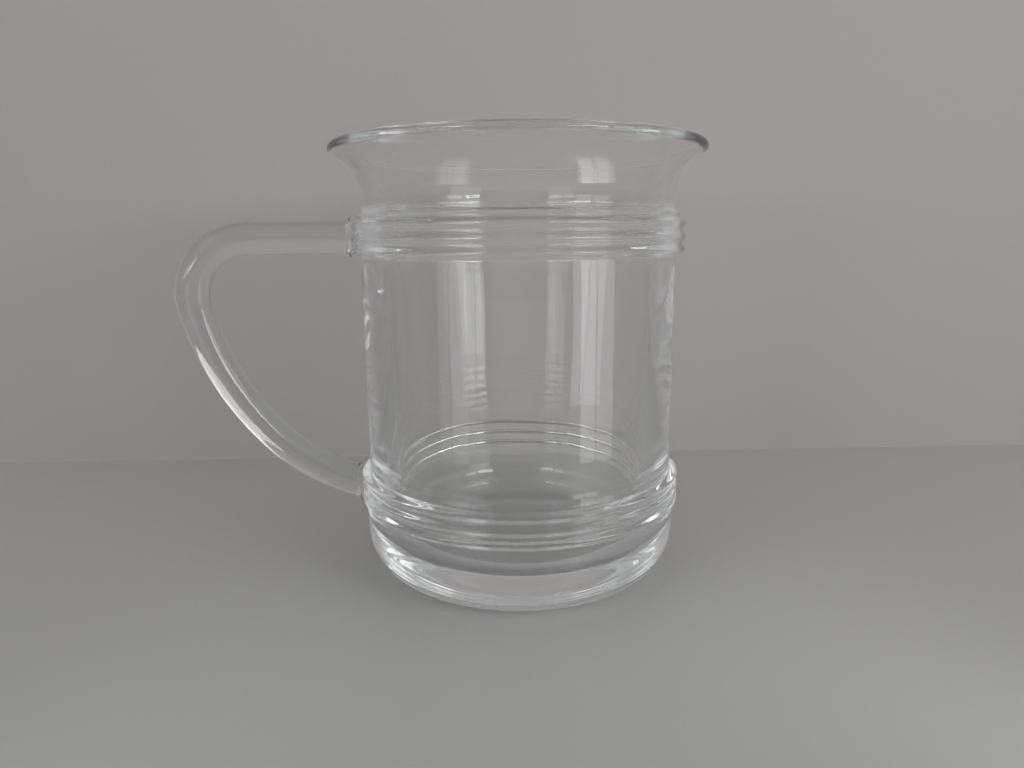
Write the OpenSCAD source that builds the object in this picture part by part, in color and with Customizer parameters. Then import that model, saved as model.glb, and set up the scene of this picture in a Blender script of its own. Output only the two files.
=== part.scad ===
// Handled glass beaker: a turned glass cup with two bands of ribs, and a bent
// glass rod bonded across the bands as a handle.
// Millimetres, +Z up. The origin is the centre of the resting face, and the
// handle points to -X.

/* [Cup] */
// Overall height, from the resting face to the top of the lip
height = 103; // [96:0.5:120]
// Outside diameter of the plain wall between the bands
body_d = 75; // [70:0.5:80]
// Thickness of the wall under the flare, against the outside of the plain wall
wall_top = 2.6; // [2:0.1:3.4]
// Thickness of the wall where it meets the floor
wall_low = 7.1; // [4:0.1:9]
// How long the wall stays thick going up: 1 thins evenly, more thins it near the top
wall_taper = 2; // [1:0.1:3]
// Thickness of the solid floor
floor_t = 8; // [6:0.5:12]
// Width of the rounding between the inside wall and the floor
inner_corner_w = 8; // [4:0.5:14]
// Height of the rounding between the inside wall and the floor
inner_corner_h = 10; // [4:0.5:16]

/* [Foot] */
// How far the foot stands out past the plain wall
foot_step = 0.9; // [0.2:0.1:1.2]
// Rounding between the side of the foot and the resting face
foot_round = 11.3; // [6:0.1:14]

/* [Ribs] */
// Ribs in each band
ribs = 3; // [2:1:4]
// Distance from one rib to the next
rib_pitch = 2.95; // [2.6:0.05:3.1]
// How far the rib crests stand out past the plain wall
rib_height = 2; // [1.4:0.1:2.4]
// Depth of the grooves between ribs
groove_depth = 0.8; // [0.4:0.1:1.1]
// Distance from the top of the lip down to the middle of the upper band
upper_band_drop = 21; // [20:0.1:24]
// Height of the middle of the lower band
lower_band_z = 22.4; // [22:0.1:28]

/* [Lip] */
// Outside diameter of the lip
rim_d = 87.8; // [86:0.2:90]
// Thickness of the rounded lip
lip_t = 2.4; // [2.2:0.1:3]
// How much the neck under the lip is set in from the plain wall
neck_step = 0.5; // [0:0.1:0.6]
// Radius of the gentle curve that starts the flare
flare_start_r = 18; // [14:1:22]
// Lean of the wall from upright where that curve ends, in degrees
flare_start_lean = 18; // [12:1:22]
// Lean of the wall from upright at the lip, in degrees
lip_lean = 72; // [64:1:78]

/* [Handle] */
// Diameter of the glass rod
rod_d = 7.5; // [6:0.1:9]
// Clear gap between the plain wall and the widest part of the handle
finger_gap = 33.7; // [28:0.1:38]
// Radius of the top bend, to the middle of the rod
bend_r = 13; // [10:0.5:15]
// How far the top bend turns past straight down, in degrees
bend_past = 13; // [8:1:16]
// Turn of the long side curve, in degrees
side_turn = 28; // [24:1:32]
// Slope of the rod where it meets the lower band, in degrees
arrival = 19; // [14:1:24]
// Height of the middle of the rod at the upper band, above the band's middle
upper_joint_rise = 0.4; // [-0.5:0.1:0.8]
// Height of the middle of the rod at the lower band, above the band's middle
lower_joint_rise = 1.1; // [0:0.1:2]
// Depth that each rib crest bites into the end of the rod
bond_depth = 0.3; // [0.1:0.05:0.5]
// Length over which each end of the rod widens into its bond
weld = 0.9; // [0.4:0.1:1.4]

/* [Hidden] */
$fn = 96;

glass_clear = [0.86, 0.89, 0.89, 0.45];
glass_rod = [0.82, 0.85, 0.85, 0.55];

body_r = body_d / 2;
inner_top_r = body_r - wall_top;
inner_low_r = body_r - wall_low;
foot_r = body_r + foot_step;
neck_r = body_r - neck_step;
neck_t = neck_r - inner_top_r;
curve_steps = 16;
swell_steps = 12;
taper_steps = 24;
overlap = 1;

// The ribs are even swells of the wall, with soft grooves between them.
crest_r = body_r + rib_height;
groove_r = crest_r - groove_depth;
band_h = ribs * rib_pitch;
upper_band_z = height - upper_band_drop;

// A half-size swell closes the top of the upper band.
shoulder_h = rib_pitch / 2;
shoulder_crest_r = body_r + rib_height / 2;
shoulder_groove_r = body_r + rib_height / 4;

// The flare is a gentle curve followed by a tighter one, whose radius
// brings the lip out to its diameter.
lip_r = lip_t / 2;
flare_end_r = (rim_d / 2 - lip_r - neck_r - flare_start_r * (1 - cos(flare_start_lean))
    + neck_t / 2 * cos(lip_lean)) / (cos(flare_start_lean) - cos(lip_lean));
flare_z = height - lip_r - (flare_start_r - flare_end_r) * sin(flare_start_lean)
    - (flare_end_r + neck_t / 2) * sin(lip_lean);
flare_start_c = [neck_r + flare_start_r, flare_z];
flare_end_c = flare_start_c + (flare_start_r - flare_end_r) * along(180 - flare_start_lean);
lip_c = flare_end_c + (flare_end_r + neck_t / 2) * along(180 - lip_lean);

// The rod runs out level, turns down through the top bend, and comes back
// through the side curve and the lower curve. Headings are degrees in the
// XZ plane, counted from +X towards +Z.
heading_out = 180;
heading_side = 270 + bend_past;
heading_lower = heading_side + side_turn;
heading_in = 360 - arrival;
upper_joint = [-crest_r, upper_band_z + upper_joint_rise];
lower_joint = [-crest_r, lower_band_z + lower_joint_rise];
bend_start = [bend_r - body_r - finger_gap - rod_d / 2, upper_joint[1]];
bend_end = bend_start + bend_r * unit_arc(heading_out, heading_side);

// The radii of the side curve and the lower curve are the two that land
// the rod on the lower joint.
side_step = unit_arc(heading_side, heading_lower);
lower_step = unit_arc(heading_lower, heading_in);
span = lower_joint - bend_end;
side_r = cross2(span, lower_step) / cross2(side_step, lower_step);
lower_r = cross2(side_step, span) / cross2(side_step, lower_step);
side_end = bend_end + side_r * side_step;

// The cone that widens each end starts inside the rod and runs past the cut.
weld_lead = 0.5;
weld_r0 = rod_d / 2 - weld_lead;
weld_h = weld_lead + weld + bond_depth + overlap;

// The rod is drawn past both joints by this much before its ends are cut.
end_spare = rod_d;
end_spare_turn = round(2 * asin(end_spare / 2 / lower_r));

// The block that cuts the ends upright is larger than all that it takes away.
cut_w = 2 * rod_d;
cut_l = 3 * rod_d;

// Unit vector along a heading
function along(heading) = [cos(heading), sin(heading)];

// Step made by a curve of radius 1 that turns left from one heading to another
function unit_arc(h0, h1) = [sin(h1) - sin(h0), cos(h0) - cos(h1)];

// Cross product of two plane vectors
function cross2(a, b) = a[0] * b[1] - a[1] * b[0];

// Points on a curve about a centre, after the point at its first angle
function curve(centre, r, a0, a1) =
    [for (i = [1 : curve_steps]) centre + r * along(a0 + (a1 - a0) * i / curve_steps)];

// Points up the neck and the flare, at a depth inside the outer surface
function flare_points(depth) = concat(
    [[neck_r - depth, flare_z - overlap], [neck_r - depth, flare_z]],
    curve(flare_start_c, flare_start_r + depth, 180, 180 - flare_start_lean),
    curve(flare_end_c, flare_end_r + depth, 180 - flare_start_lean, 180 - lip_lean)
);

// Points up one swell of the wall, from radius r0 over a crest to radius r1,
// after the point at its foot
function swell(z, h, r0, crest, r1) = [for (i = [1 : swell_steps])
    let (k = i / swell_steps, r = k < 0.5 ? r0 : r1)
    [r + (crest - r) * (1 - cos(360 * k)) / 2, z + h * k]];

// Points up one band of ribs, from radius r0 below it to radius r1 above it
function band_points(band_z, r0, r1) = [for (n = [0 : ribs - 1]) each swell(
    band_z - band_h / 2 + n * rib_pitch, rib_pitch,
    n == 0 ? r0 : groove_r, crest_r, n == ribs - 1 ? r1 : groove_r
)];

// A list from its last entry to its first
function reversed(list) = [for (i = [len(list) - 1 : -1 : 0]) list[i]];

// Section of the rounding under the foot
module foot_section() {
    square([foot_r - foot_round, foot_round + overlap]);
    translate([foot_r - foot_round, foot_round]) circle(foot_round);
}

// Section of the side of the foot and the lower band above it
module lower_band_section() {
    bottom = lower_band_z - band_h / 2;
    polygon(concat(
        [[0, foot_round], [foot_r, foot_round], [groove_r, bottom]],
        band_points(lower_band_z, groove_r, body_r),
        [[0, bottom + band_h]]
    ));
}

// Section of the upper band, between the plain wall and the neck
module upper_band_section() {
    bottom = upper_band_z - band_h / 2;
    polygon(concat(
        [[0, bottom], [body_r, bottom]],
        band_points(upper_band_z, body_r, shoulder_groove_r),
        swell(bottom + band_h, shoulder_h, shoulder_groove_r, shoulder_crest_r, neck_r),
        [[0, bottom + band_h + shoulder_h]]
    ));
}

// Section of the hollow: an elliptical turn from floor to wall, and a wall
// that thins on its way up
module hollow_section() {
    corner = [for (i = [0 : curve_steps]) let (a = 90 * i / curve_steps) [
        inner_low_r - inner_corner_w * (1 - sin(a)),
        floor_t + inner_corner_h * (1 - cos(a))
    ]];
    corner_top = floor_t + inner_corner_h;
    side = [for (i = [1 : taper_steps]) let (k = i / taper_steps) [
        inner_low_r + (inner_top_r - inner_low_r) * pow(k, wall_taper),
        corner_top + (flare_z - corner_top) * k
    ]];
    polygon(concat([[0, floor_t]], corner, side, [[inner_top_r, height], [0, height]]));
}

// Section of the neck, the flare and the rounded lip
module flare_section() {
    polygon(concat(flare_points(0), reversed(flare_points(neck_t))));
    translate(lip_c) circle(lip_r);
}

// The cup, turned as one piece of glass
module body() {
    color(glass_clear) rotate_extrude() union() {
        difference() {
            union() {
                foot_section();
                translate([0, foot_round]) square([body_r, upper_band_z - foot_round]);
                translate([0, foot_round]) square([neck_r, flare_z - foot_round]);
                lower_band_section();
                upper_band_section();
            }
            hollow_section();
        }
        flare_section();
    }
}

// Moves to a point in the XZ plane, in thousandths and then the remainder,
// so that lengths of rod meet exactly.
module move_to(p) {
    coarse = [round(p[0] * 1000) / 1000, round(p[1] * 1000) / 1000];
    translate([coarse[0], 0, coarse[1]])
        translate([p[0] - coarse[0], 0, p[1] - coarse[1]])
            children();
}

// Length of rod that turns left, starting from a point in the XZ plane
module rod_bend(start, heading, turn, r) {
    coarse_r = round(r * 1000) / 1000;
    move_to(start + r * along(heading + 90)) rotate([90, 0, 0])
        rotate_extrude(angle = turn, start = heading - 90)
            translate([coarse_r, 0]) translate([r - coarse_r, 0]) circle(d = rod_d);
}

// Cone that widens the rod as it arrives at a joint on a heading
module weld_cone(joint, heading) {
    move_to(joint - (weld + weld_lead) * along(heading)) rotate([0, 90 - heading, 0])
        cylinder(r1 = weld_r0, r2 = weld_r0 + weld_h, h = weld_h);
}

// The handle: one bent rod, with its ends cut upright and notched by the
// rib crests that it is bonded to
module handle() {
    color(glass_rod) difference() {
        union() {
            translate([bend_start[0], 0, bend_start[1]]) rotate([0, 90, 0])
                cylinder(d = rod_d, h = upper_joint[0] + end_spare - bend_start[0]);
            rod_bend(bend_start, heading_out, heading_side - heading_out, bend_r);
            rod_bend(bend_end, heading_side, side_turn, side_r);
            rod_bend(side_end, heading_lower, heading_in - heading_lower + end_spare_turn, lower_r);
            weld_cone(upper_joint, 0);
            weld_cone(lower_joint, heading_in);
        }
        translate([bond_depth - crest_r, -cut_w / 2, 0]) cube([cut_l, cut_w, height]);
        rotate_extrude() {
            lower_band_section();
            upper_band_section();
        }
    }
}

body();
handle();
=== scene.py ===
import math

import bpy
from mathutils import Matrix, Vector


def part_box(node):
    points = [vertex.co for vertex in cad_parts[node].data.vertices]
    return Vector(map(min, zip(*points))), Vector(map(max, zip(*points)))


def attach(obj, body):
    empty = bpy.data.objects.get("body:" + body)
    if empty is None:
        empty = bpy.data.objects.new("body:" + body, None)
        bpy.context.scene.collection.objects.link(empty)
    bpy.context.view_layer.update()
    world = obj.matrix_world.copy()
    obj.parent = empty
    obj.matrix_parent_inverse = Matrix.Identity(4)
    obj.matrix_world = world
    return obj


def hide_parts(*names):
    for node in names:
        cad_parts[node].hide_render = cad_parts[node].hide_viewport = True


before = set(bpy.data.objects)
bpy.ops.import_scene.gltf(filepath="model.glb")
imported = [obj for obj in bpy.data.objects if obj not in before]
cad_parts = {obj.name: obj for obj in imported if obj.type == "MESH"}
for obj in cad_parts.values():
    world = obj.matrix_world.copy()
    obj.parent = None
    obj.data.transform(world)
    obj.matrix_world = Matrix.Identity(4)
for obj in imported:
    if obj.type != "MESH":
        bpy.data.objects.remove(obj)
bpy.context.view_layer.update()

# Lengths below are in millimetres, and each mesh is written in metres, in the row frame.
MM = 0.001
body_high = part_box("body")[1] / MM
handle_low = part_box("handle")[0] / MM

# ---------------------------------------------------------------- the cup's section
HEIGHT = body_high.z
RIM_R = body_high.y
WALL_R = 37.5
INNER_TOP_R = 34.9
INNER_LOW_R = 30.4
TAPER = 2.0
NECK_R = 37.0
NECK_T = NECK_R - INNER_TOP_R
FLOOR_T = 8.0
CORNER_W = 8.0
CORNER_H = 10.0
FOOT_R = 38.4
FOOT_ROUND = 11.3
RESTING_R = FOOT_R - FOOT_ROUND

RIBS = 3
RIB_PITCH = 2.95
CREST_R = 39.5
GROOVE_R = 38.7
SHOULDER_GROOVE_R = 38.0
SHOULDER_CREST_R = 38.5
SHOULDER_H = RIB_PITCH / 2
BAND_H = RIBS * RIB_PITCH
UPPER_BAND_Z = HEIGHT - 21.0
LOWER_BAND_Z = 22.4

LIP_R = 1.2
RIPPLE = 0.03
FLARE_START_R = 18.0
FLARE_START_LEAN = math.radians(18)
LIP_LEAN = math.radians(72)

# How many points each stretch of the section has, and how many sides the cup is turned with.
FLAT_STEPS = 8
FOOT_STEPS = 24
WALL_STEPS = 24
RIB_STEPS = 20
SHOULDER_STEPS = 14
NECK_STEPS = 2
FLARE_START_STEPS = 8
FLARE_END_STEPS = 14
LIP_STEPS = 20
INNER_FLARE_START_STEPS = 10
INNER_WALL_STEPS = 32
INNER_CORNER_STEPS = 48
CUP_SIDES = 240


def arc(centre, radius, start, end, steps):
    """Points on a curve about a centre, after the point at its first angle."""
    angles = [start + (end - start) * i / steps for i in range(1, steps + 1)]
    return [(centre[0] + radius * math.cos(a), centre[1] + radius * math.sin(a)) for a in angles]


def line(start, end, steps):
    """Points on a straight line, after its first point."""
    return [tuple(a + (b - a) * i / steps for a, b in zip(start, end)) for i in range(1, steps + 1)]


def swell(z, height, r_below, crest, r_above, steps):
    """Points up one rib, which swells from the radius below it to its crest and back."""
    points = []
    for i in range(1, steps + 1):
        k = i / steps
        base = r_below if k < 0.5 else r_above
        points.append((base + (crest - base) * (1 - math.cos(2 * math.pi * k)) / 2, z + height * k))
    return points


def band(middle, r_below, r_above):
    """Points up one band of ribs."""
    points = []
    for n in range(RIBS):
        low = r_below if n == 0 else GROOVE_R
        high = r_above if n == RIBS - 1 else GROOVE_R
        bottom = middle - BAND_H / 2 + n * RIB_PITCH
        points += swell(bottom, RIB_PITCH, low, CREST_R, high, RIB_STEPS)
    return points


def cup_section():
    """The cup's section as (radius, height), and the number of points before the inside begins.

    It starts at the middle of the resting face, goes up the outside and comes down the inside to the middle
    of the floor.
    """
    spread = math.cos(FLARE_START_LEAN) - math.cos(LIP_LEAN)
    reach = RIM_R - LIP_R - NECK_R - FLARE_START_R * (1 - math.cos(FLARE_START_LEAN))
    flare_end_r = (reach + NECK_T / 2 * math.cos(LIP_LEAN)) / spread
    flare_z = (HEIGHT - LIP_R - (FLARE_START_R - flare_end_r) * math.sin(FLARE_START_LEAN)
               - (flare_end_r + NECK_T / 2) * math.sin(LIP_LEAN))
    start_c = (NECK_R + FLARE_START_R, flare_z)
    step = FLARE_START_R - flare_end_r
    end_c = (start_c[0] - step * math.cos(FLARE_START_LEAN),
             start_c[1] + step * math.sin(FLARE_START_LEAN))
    mid_r = flare_end_r + NECK_T / 2
    lip_c = (end_c[0] - mid_r * math.cos(LIP_LEAN), end_c[1] + mid_r * math.sin(LIP_LEAN))
    turn_a, turn_b = math.pi - FLARE_START_LEAN, math.pi - LIP_LEAN
    lower_bottom = LOWER_BAND_Z - BAND_H / 2
    upper_bottom = UPPER_BAND_Z - BAND_H / 2
    upper_top = UPPER_BAND_Z + BAND_H / 2
    shoulder_top = upper_top + SHOULDER_H

    points = [(0.0, 0.0)]
    points += line(points[-1], (RESTING_R, 0), FLAT_STEPS)
    points += arc((RESTING_R, FOOT_ROUND), FOOT_ROUND, -math.pi / 2, 0, FOOT_STEPS)
    points += line(points[-1], (GROOVE_R, lower_bottom), FLAT_STEPS)
    points += band(LOWER_BAND_Z, GROOVE_R, WALL_R)
    points += line(points[-1], (WALL_R, upper_bottom), WALL_STEPS)
    points += band(UPPER_BAND_Z, WALL_R, SHOULDER_GROOVE_R)
    points += swell(upper_top, SHOULDER_H, SHOULDER_GROOVE_R, SHOULDER_CREST_R, NECK_R, SHOULDER_STEPS)
    points += line((NECK_R, shoulder_top), (NECK_R, flare_z), NECK_STEPS)
    points += arc(start_c, FLARE_START_R, math.pi, turn_a, FLARE_START_STEPS)
    points += arc(end_c, flare_end_r, turn_a, turn_b, FLARE_END_STEPS)
    # The lip is a bead, a little thicker than the wall that it closes.
    sink = math.acos(NECK_T / 2 / LIP_R)
    points += arc(lip_c, LIP_R, turn_b - math.pi + sink, turn_b - sink, LIP_STEPS)
    outside = len(points)
    points += arc(end_c, flare_end_r + NECK_T, turn_b, turn_a, FLARE_END_STEPS)
    points += arc(start_c, FLARE_START_R + NECK_T, turn_a, math.pi, INNER_FLARE_START_STEPS)
    # Inside, the wall thickens on its way down to the floor.
    top_z, low_z = flare_z, FLOOR_T + CORNER_H
    for i in range(1, INNER_WALL_STEPS + 1):
        k = 1 - i / INNER_WALL_STEPS
        r = INNER_LOW_R + (INNER_TOP_R - INNER_LOW_R) * k ** TAPER
        points.append((r, low_z + (top_z - low_z) * k))
    for i in range(1, INNER_CORNER_STEPS + 1):
        a = math.pi / 2 * i / INNER_CORNER_STEPS
        r = INNER_LOW_R - CORNER_W * (1 - math.cos(a))
        points.append((r, FLOOR_T + CORNER_H * (1 - math.sin(a))))
    points += line(points[-1], (0.0, FLOOR_T), FLAT_STEPS)
    return points, outside


def new_object(name, mesh):
    """An object of a mesh, shaded smooth."""
    for polygon in mesh.polygons:
        polygon.use_smooth = True
    obj = bpy.data.objects.new(name, mesh)
    bpy.context.scene.collection.objects.link(obj)
    return obj


def ripple(a, r, z):
    """The faint unevenness of the inner wall, which fades out towards the axis."""
    # Three waves round the wall, each of whose crests drifts as it rises.
    waves = math.sin(5 * a + z / 9)
    waves += 0.6 * math.sin(11 * a - z / 6 + 1.3)
    waves += 0.4 * math.sin(17 * a + z / 14 + 4)
    return RIPPLE * waves * r / INNER_TOP_R


def lathe(name, section, inside_from, sides):
    """A closed body of revolution from a section that starts and ends on the axis.

    Points from the number inside_from on are the inside, and aren't quite even.
    """
    low, *rings, high = section
    vertices = [(0, 0, low[1] * MM)]
    for n, (r, z) in enumerate(rings):
        for s in range(sides):
            a = 2 * math.pi * s / sides
            uneven = r + ripple(a, r, z) if n >= inside_from else r
            vertices.append((uneven * math.cos(a) * MM, uneven * math.sin(a) * MM, z * MM))
    vertices.append((0, 0, high[1] * MM))
    last = 1 + (len(rings) - 1) * sides
    faces = [(0, 1 + (s + 1) % sides, 1 + s) for s in range(sides)]
    for n in range(len(rings) - 1):
        a, b = 1 + n * sides, 1 + (n + 1) * sides
        faces += [(a + s, a + (s + 1) % sides, b + (s + 1) % sides, b + s) for s in range(sides)]
    faces += [(last + s, last + (s + 1) % sides, len(vertices) - 1) for s in range(sides)]
    mesh = bpy.data.meshes.new(name)
    mesh.from_pydata(vertices, [], faces)
    mesh.validate()
    return new_object(name, mesh)


# ---------------------------------------------------------------- the handle's rod
# Turns are in degrees.
ROD_R = 3.75
ROD_SIDES = 48
RUN_STEPS = 16
BEND_STEPS = (32, 36, 24)
BEND_R = 13.0
BEND_PAST = 13
SIDE_TURN = 28
ARRIVAL = 19
UPPER_JOINT_RISE = 0.4
LOWER_JOINT_RISE = 1.1
# Each end widens over WELD, and stops just short of the cup so that the two glass surfaces don't coincide.
WELD = 0.9
WELD_RINGS = (1.2, 1, 0.8, 0.5)
WELD_CLEAR = 1.4
BOND_GAP = 0.03
END_ROUND = 0.25
END_STEPS = 4
END_CAP_RINGS = (0.9, 0.6, 0.3)


def along(heading):
    """The unit step in a heading, in degrees."""
    return Vector((math.cos(math.radians(heading)), math.sin(math.radians(heading))))


def unit_arc(start, end):
    """The step made by a curve of radius 1 that turns left from one heading to another."""
    a, b = math.radians(start), math.radians(end)
    return Vector((math.sin(b) - math.sin(a), math.cos(a) - math.cos(b)))


def cross(a, b):
    """The cross product of two flat vectors."""
    return a.x * b.y - a.y * b.x


def rod_line():
    """The middle of the rod as (point, heading) in the XZ plane, from the upper band to the lower one."""
    top_z = UPPER_BAND_Z + UPPER_JOINT_RISE
    joint_x = -CREST_R - BOND_GAP
    bend_x = handle_low.x + ROD_R + BEND_R
    # It leaves the cup level, turns down past upright, bends back
    # along its side and comes in falling a little.
    headings = (180, 270 + BEND_PAST, 270 + BEND_PAST + SIDE_TURN, 360 - ARRIVAL)
    bend_end = Vector((bend_x, top_z)) + BEND_R * unit_arc(headings[0], headings[1])
    span = Vector((-CREST_R, LOWER_BAND_Z + LOWER_JOINT_RISE)) - bend_end
    side, lower = unit_arc(headings[1], headings[2]), unit_arc(headings[2], headings[3])
    # The last two radii are the ones that land the rod on the lower band.
    area = cross(side, lower)
    radii = (BEND_R, cross(span, lower) / area, cross(side, span) / area)

    points = [(Vector((joint_x, top_z)), 180)]
    points += [(Vector(p), 180) for p in line((joint_x, top_z), (bend_x, top_z), RUN_STEPS)]
    for radius, start, end, steps in zip(radii, headings, headings[1:], BEND_STEPS):
        origin = points[-1][0]
        for i in range(1, steps + 1):
            heading = start + (end - start) * i / steps
            points.append((origin + radius * unit_arc(start, heading), heading))
    return points


def rod(name, middle, radius, sides):
    """A bent rod along a line in the XZ plane, with both ends widened for their bonds and cut upright."""
    cut = middle[0][0].x
    rings = []
    for point, heading in middle:
        out = along(heading + 90)
        ring = []
        for s in range(sides):
            a = 2 * math.pi * s / sides
            p = point + radius * math.cos(a) * out
            ring.append(Vector((p.x, radius * math.sin(a), p.y)))
        rings.append(ring)

    def near_cut(ring, heading, depth):
        """A ring slid along the rod to an upright plane at a depth before the cut, widened for the bond."""
        way = Vector((along(heading).x, 0, along(heading).y))
        slid = [v + way * ((cut - depth - v.x) / way.x) for v in ring]
        centre = sum(slid, Vector()) / sides
        grow = 1 + max(0, WELD - depth) / radius
        return [centre + (v - centre) * grow for v in slid]

    def bonded(ring, heading):
        """The rings that widen one end of the rod, then the eased edge and the flat face of its cut."""
        steps = [near_cut(ring, heading, share * WELD) for share in WELD_RINGS]
        face = near_cut(ring, heading, 0)
        centre = sum(face, Vector()) / sides
        for i in range(END_STEPS + 1):
            a = math.pi / 2 * i / END_STEPS
            inset = END_ROUND * (1 - math.cos(a))
            back = Vector((END_ROUND * (1 - math.sin(a)), 0, 0))
            steps.append([v + (centre - v).normalized() * inset - back for v in face])
        for share in END_CAP_RINGS:
            steps.append([centre + (v - centre) * share for v in face])
        return steps, centre

    first, first_centre = bonded(rings[0], middle[0][1])
    end, end_centre = bonded(rings[-1], middle[-1][1])
    # Rings that would poke into the widened ends are dropped.
    clear = cut - WELD_CLEAR * WELD
    between = [ring for ring in rings[1:-1] if max(v.x for v in ring) < clear]
    rings = first[::-1] + between + end
    vertices = [v for ring in rings for v in ring] + [first_centre, end_centre]
    total = len(rings) * sides
    faces = []
    for n in range(len(rings) - 1):
        a, b = n * sides, (n + 1) * sides
        faces += [(a + s, b + s, b + (s + 1) % sides, a + (s + 1) % sides) for s in range(sides)]
    for s in range(sides):
        faces.append((total, s, (s + 1) % sides))
        faces.append((total + 1, total - sides + (s + 1) % sides, total - sides + s))
    mesh = bpy.data.meshes.new(name)
    mesh.from_pydata([v * MM for v in vertices], [], faces)
    mesh.validate()
    return new_object(name, mesh)


# ---------------------------------------------------------------- materials
# The scuffed ring on the resting face fades in and out between these radii, and up to these heights.
SCUFF_IN = (RESTING_R - 4, RESTING_R - 1)
SCUFF_OUT = (RESTING_R, RESTING_R + 2)
SCUFF_UP = (0.1, 0.5)

# Heights of the bumps, in metres.
WAVE_HEIGHT = 0.0001
LINE_HEIGHT = 0.00001


def shader(name):
    """A new node material, its tree, and a short way to add nodes to it."""
    material = bpy.data.materials.new(name)
    material.use_nodes = True
    tree = material.node_tree
    tree.nodes.clear()

    def add(kind, **inputs):
        node = tree.nodes.new(kind)
        for key, value in inputs.items():
            node.inputs[key.replace("_", " ")].default_value = value
        return node

    return material, tree, add


def glass(name, tint, depth_tint, density, haze, smear, wear):
    """Clear glass with soft waves, fine draw lines, handling smears and, if it has wear, a scuffed ring.

    The tint is the surface's colour and depth_tint the colour that light takes on inside. The haze is the
    lowest roughness, and smear is what the smears add to it.
    """
    material, tree, add = shader(name)
    link = tree.links.new
    place = add("ShaderNodeTexCoord")
    out = add("ShaderNodeOutputMaterial")
    surface = add("ShaderNodeBsdfPrincipled", IOR=1.5)
    surface.inputs["Transmission Weight"].default_value = 1
    surface.inputs["Base Color"].default_value = tint
    link(surface.outputs["BSDF"], out.inputs["Surface"])
    absorb = add("ShaderNodeVolumeAbsorption", Color=depth_tint, Density=density)
    link(absorb.outputs["Volume"], out.inputs["Volume"])

    def noise(scale, detail, stretch):
        """Noise over the piece, with features of about 1 / scale metres, scaled again on each axis."""
        spread = add("ShaderNodeMapping", Scale=stretch)
        pattern = add("ShaderNodeTexNoise", Scale=scale, Detail=detail, Roughness=0.45)
        link(place.outputs["Object"], spread.inputs["Vector"])
        link(spread.outputs["Vector"], pattern.inputs["Vector"])
        return pattern.outputs["Fac"]

    def ranged(value, from_low, from_high, to_low, to_high):
        """A value taken smoothly from one range to another, and held at its ends."""
        node = add("ShaderNodeMapRange")
        node.interpolation_type = "SMOOTHSTEP"
        for key, number in zip(("From Min", "From Max", "To Min", "To Max"),
                               (from_low, from_high, to_low, to_high)):
            node.inputs[key].default_value = number
        link(value, node.inputs["Value"])
        return node.outputs["Result"]

    def maths(operation, first, second):
        """An operation on two sockets, or on a socket and a number."""
        node = add("ShaderNodeMath")
        node.operation = operation
        link(first, node.inputs[0])
        if isinstance(second, float):
            node.inputs[1].default_value = second
        else:
            link(second, node.inputs[1])
        return node.outputs["Value"]

    # Smears come up as patches of slightly higher roughness.
    patches = noise(scale=38, detail=3, stretch=(1, 1, 0.6))
    rough = ranged(patches, from_low=0.52, from_high=0.72, to_low=haze, to_high=haze + smear)
    if wear:
        apart = add("ShaderNodeSeparateXYZ")
        link(place.outputs["Object"], apart.inputs["Vector"])
        x_squared = maths("MULTIPLY", apart.outputs["X"], apart.outputs["X"])
        y_squared = maths("MULTIPLY", apart.outputs["Y"], apart.outputs["Y"])
        radius = maths("POWER", maths("ADD", x_squared, y_squared), 0.5)
        ring_in = ranged(radius, SCUFF_IN[0] * MM, SCUFF_IN[1] * MM, 0, 1)
        ring_out = ranged(radius, SCUFF_OUT[0] * MM, SCUFF_OUT[1] * MM, 1, 0)
        low = ranged(apart.outputs["Z"], SCUFF_UP[0] * MM, SCUFF_UP[1] * MM, 1, 0)
        marks = noise(scale=900, detail=2, stretch=(1, 1, 1))
        scuffs = ranged(marks, from_low=0.48, from_high=0.62, to_low=0, to_high=wear)
        ring = maths("MULTIPLY", ring_in, ring_out)
        ring = maths("MULTIPLY", ring, maths("MULTIPLY", low, scuffs))
        rough = maths("ADD", rough, ring)
    link(rough, surface.inputs["Roughness"])

    waves = add("ShaderNodeBump", Strength=0.25, Distance=WAVE_HEIGHT)
    link(noise(scale=55, detail=1, stretch=(1, 1, 1)), waves.inputs["Height"])
    lines = add("ShaderNodeBump", Strength=0.2, Distance=LINE_HEIGHT)
    link(noise(scale=160, detail=2, stretch=(1, 1, 0.12)), lines.inputs["Height"])
    link(waves.outputs["Normal"], lines.inputs["Normal"])
    link(lines.outputs["Normal"], surface.inputs["Normal"])
    return material


def plain(name, colour, roughness):
    """An even paint for the studio, with the nodes that its user may add to."""
    material, tree, add = shader(name)
    out = add("ShaderNodeOutputMaterial")
    surface = add("ShaderNodeBsdfPrincipled", Roughness=roughness)
    surface.inputs["Base Color"].default_value = colour
    tree.links.new(surface.outputs["BSDF"], out.inputs["Surface"])
    return material, tree, add, surface, out


# ---------------------------------------------------------------- build
cup = lathe("cup_glass", *cup_section(), CUP_SIDES)
handle = rod("handle_glass", rod_line(), ROD_R, ROD_SIDES)
cup.data.materials.append(glass(
    "clear_cup_glass", tint=(0.99, 0.995, 0.993, 1), depth_tint=(0.80, 0.88, 0.87, 1),
    density=2, haze=0.0, smear=0.02, wear=0.3))
handle.data.materials.append(glass(
    "clear_rod_glass", tint=(0.985, 0.99, 0.99, 1), depth_tint=(0.80, 0.86, 0.86, 1),
    density=3, haze=0.02, smear=0.03, wear=0.0))
for piece, node, slot in ((cup, "body", "cup_glass"), (handle, "handle", "rod_glass")):
    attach(piece, "root")
    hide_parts(node)

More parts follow.
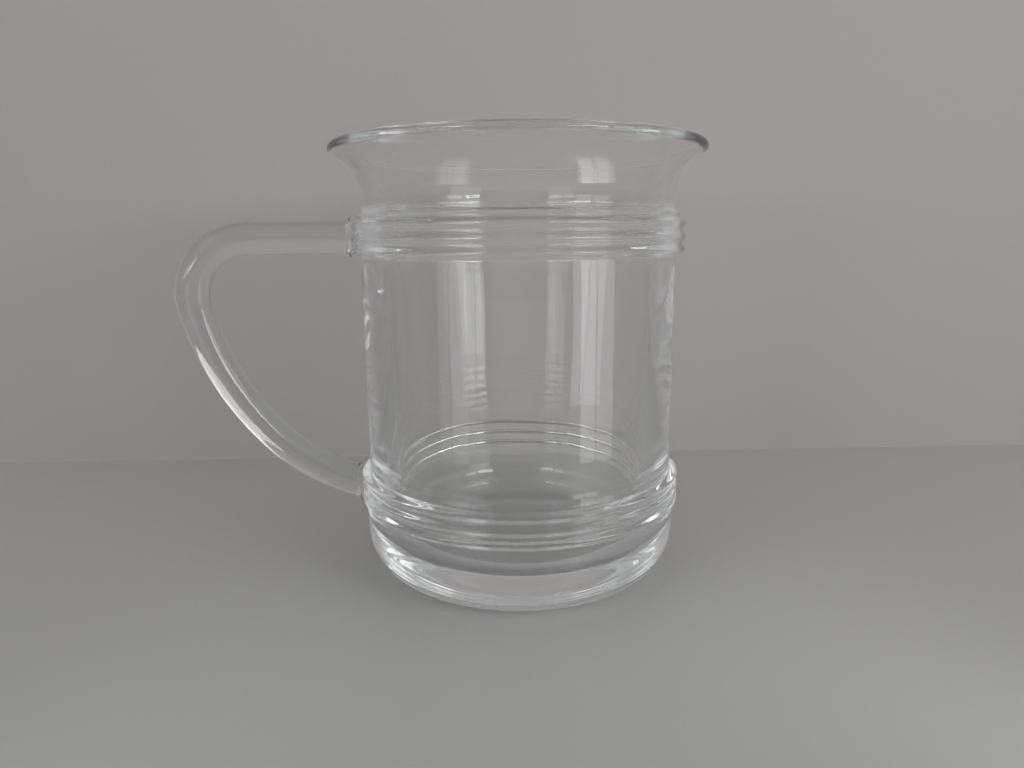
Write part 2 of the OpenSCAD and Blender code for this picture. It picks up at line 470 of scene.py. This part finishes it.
# ---------------------------------------------------------------- camera
SENSOR_WIDTH = 36
LENS = 25.96
NEAREST = 5
CAMERA_DISTANCE = 182.1
CAMERA_HEIGHT = 82.1
CAMERA_AROUND = math.radians(-12.3)
CAMERA_YAW = math.radians(0.54)
CAMERA_PITCH = math.radians(11.24)
CAMERA_ROLL = math.radians(-0.47)

scene = bpy.context.scene
camera = bpy.data.objects.new("camera", bpy.data.cameras.new("camera"))
scene.collection.objects.link(camera)
scene.camera = camera
camera.data.sensor_width = SENSOR_WIDTH
camera.data.lens = LENS
camera.data.clip_start = NEAREST * MM
camera.location = Vector((math.sin(CAMERA_AROUND) * CAMERA_DISTANCE,
                          -math.cos(CAMERA_AROUND) * CAMERA_DISTANCE,
                          CAMERA_HEIGHT)) * MM
turn = (Matrix.Rotation(CAMERA_AROUND + CAMERA_YAW, 3, "Z")
        @ Matrix.Rotation(math.pi / 2 - CAMERA_PITCH, 3, "X")
        @ Matrix.Rotation(CAMERA_ROLL, 3, "Z"))
camera.rotation_euler = turn.to_euler()

# ---------------------------------------------------------------- studio
# The wall and the lights hang on a rig that turns about the cup's axis to face the camera.
WALL_BEHIND = 93.9
WALL_TURN = math.radians(2.4)
WALL_W, WALL_H = 3000, 900
FLOOR_W = 6000
FLOOR_DROP = 0.2
FLOOR_COLOUR = (0.57, 0.57, 0.565, 1)
# Painted light: the paler floor paint under the cup, and the radii over which it fades into the even floor.
UNDER_CUP_PAINTED_LIGHT = (0.82, 0.82, 0.815, 1)
PAINTED_LIGHT_FADE = (26, 38)
WALL_COLOUR = (0.67, 0.64, 0.635, 1)

rig = bpy.data.objects.new("studio_rig", None)
scene.collection.objects.link(rig)
facing = rig.constraints.new("LOCKED_TRACK")
facing.target = camera
facing.track_axis = "TRACK_NEGATIVE_Y"
facing.lock_axis = "LOCK_Z"


def sheet(name, width, depth, material):
    """A flat sheet of the studio, which isn't part of the object."""
    mesh = bpy.data.meshes.new(name)
    x, y = width / 2 * MM, depth / 2 * MM
    mesh.from_pydata([(-x, -y, 0), (x, -y, 0), (x, y, 0), (-x, y, 0)], [], [(0, 1, 2, 3)])
    mesh.materials.append(material)
    obj = bpy.data.objects.new(name, mesh)
    scene.collection.objects.link(obj)
    return obj


# The floor under the cup is painted paler than the rest, a painted pool of light. This is a stage effect:
# too little light reaches that floor through the glass, and with one even paint the floor that shows
# through the base comes out too dark.
floor_paint, tree, add, surface, _ = plain("floor_paint", FLOOR_COLOUR, 0.3)
place = add("ShaderNodeTexCoord")
reach = tree.nodes.new("ShaderNodeVectorMath")
reach.operation = "LENGTH"
# Painted light: this mask is 1 under the cup and fades to 0 outside it, where the floor takes its even
# paint.
painted_light_mask = add("ShaderNodeMapRange")
painted_light_mask.inputs["From Min"].default_value = PAINTED_LIGHT_FADE[0] * MM
painted_light_mask.inputs["From Max"].default_value = PAINTED_LIGHT_FADE[1] * MM
painted_light_mask.inputs["To Min"].default_value = 1
painted_light_mask.inputs["To Max"].default_value = 0
blend = tree.nodes.new("ShaderNodeMix")
blend.data_type = "RGBA"
colours = [socket for socket in blend.inputs if socket.type == "RGBA"]
colours[0].default_value = FLOOR_COLOUR
colours[1].default_value = UNDER_CUP_PAINTED_LIGHT
tree.links.new(place.outputs["Object"], reach.inputs[0])
tree.links.new(reach.outputs["Value"], painted_light_mask.inputs["Value"])
tree.links.new(painted_light_mask.outputs["Result"], blend.inputs["Factor"])
blended = next(socket for socket in blend.outputs if socket.type == "RGBA")
tree.links.new(blended, surface.inputs["Base Color"])
floor = sheet("floor", FLOOR_W, FLOOR_W, floor_paint)
floor.location = (0, 0, -FLOOR_DROP * MM)

# Seen from behind, the wall is clear, so it can't hide the cup.
wall_paint, tree, add, surface, out = plain("wall_paint", WALL_COLOUR, 0.6)
side = add("ShaderNodeNewGeometry")
mix = add("ShaderNodeMixShader")
clear = add("ShaderNodeBsdfTransparent")
tree.links.new(side.outputs["Backfacing"], mix.inputs["Fac"])
tree.links.new(surface.outputs["BSDF"], mix.inputs[1])
tree.links.new(clear.outputs["BSDF"], mix.inputs[2])
tree.links.new(mix.outputs["Shader"], out.inputs["Surface"])
wall = sheet("wall", WALL_W, WALL_H, wall_paint)
wall.parent = rig
wall.location = (0, WALL_BEHIND * MM, WALL_H / 2 * MM)
wall.rotation_euler = (math.pi / 2, 0, WALL_TURN)


def softbox(name, from_angle, to_angle, distance, bottom, top, glow, spread=180):
    """A soft light that stands round the rig and faces the cup.

    Angles are from the camera's side, in degrees.
    """
    a = math.radians((from_angle + to_angle) / 2)
    half_angle = math.radians(abs(to_angle - from_angle) / 2)
    lamp = bpy.data.lights.new(name, "AREA")
    lamp.shape = "RECTANGLE"
    lamp.size = 2 * distance * math.sin(half_angle) * MM
    lamp.size_y = (top - bottom) * MM
    lamp.energy = glow * math.pi * lamp.size * lamp.size_y
    lamp.spread = math.radians(spread)
    obj = bpy.data.objects.new(name, lamp)
    scene.collection.objects.link(obj)
    obj.parent = rig
    middle = (bottom + top) / 2
    obj.location = Vector((math.sin(a) * distance, -math.cos(a) * distance, middle)) * MM
    obj.rotation_euler = (math.pi / 2, 0, a)


# Bright windows far off draw the glints and dim ones above them fill in.
# Low ones close by draw the columns in the cup's plain wall.
# Each has its two angles, then its distance, bottom, top and glow.
FAR, NEAR = 420, 150
LOW_SPREAD = 100
softbox("window_left_a", -27, -39, FAR, 125, 180, 5.0)
softbox("window_left_b", -42, -53, FAR, 125, 180, 3.0)
softbox("window_right_a", 34, 49, FAR, 125, 185, 7.5)
softbox("window_right_b", 52, 65, FAR, 125, 185, 3.5)
softbox("upper_left", -27, -53, FAR, 185, 460, 0.5)
softbox("upper_right", 34, 66, FAR, 190, 460, 0.8)
softbox("window_side", 114, 122, FAR, 0, 520, 1.5)
softbox("low_left_a", -31, -42, NEAR, 0, 76, 0.45, LOW_SPREAD)
softbox("low_left_b", -43, -50, NEAR, 0, 76, 0.3, LOW_SPREAD)
softbox("low_right_a", 38, 48, NEAR, 0, 76, 0.85, LOW_SPREAD)
softbox("low_right_b", 49, 61, NEAR, 0, 76, 0.65, LOW_SPREAD)

# The sky is grey at the horizon and turns white higher up.
SKY_LOW = (0.26, 0.26, 0.27, 1)
SKY_HIGH = (1.0, 1.0, 1.0, 1)
SKY_WHITE_FROM = 0.7
SKY_STRENGTH = 0.5

world = bpy.data.worlds.new("studio")
scene.world = world
world.use_nodes = True
tree = world.node_tree
view = tree.nodes.new("ShaderNodeTexCoord")
split = tree.nodes.new("ShaderNodeSeparateXYZ")
ramp = tree.nodes.new("ShaderNodeValToRGB")
ramp.color_ramp.elements[0].position = 0.0
ramp.color_ramp.elements[0].color = SKY_LOW
ramp.color_ramp.elements[1].position = SKY_WHITE_FROM
ramp.color_ramp.elements[1].color = SKY_HIGH
tree.links.new(view.outputs["Generated"], split.inputs["Vector"])
tree.links.new(split.outputs["Z"], ramp.inputs["Fac"])
tree.links.new(ramp.outputs["Color"], tree.nodes["Background"].inputs["Color"])
tree.nodes["Background"].inputs["Strength"].default_value = SKY_STRENGTH

# Light bounces many times inside the glass, and too few bounces leave black marks in it.
GLASS_BOUNCES = 64
CLEAR_BOUNCES = 32

scene.view_settings.view_transform = "Standard"
scene.cycles.max_bounces = GLASS_BOUNCES
scene.cycles.transmission_bounces = GLASS_BOUNCES
scene.cycles.transparent_max_bounces = CLEAR_BOUNCES
scene.cycles.glossy_bounces = GLASS_BOUNCES
scene.cycles.use_denoising = True
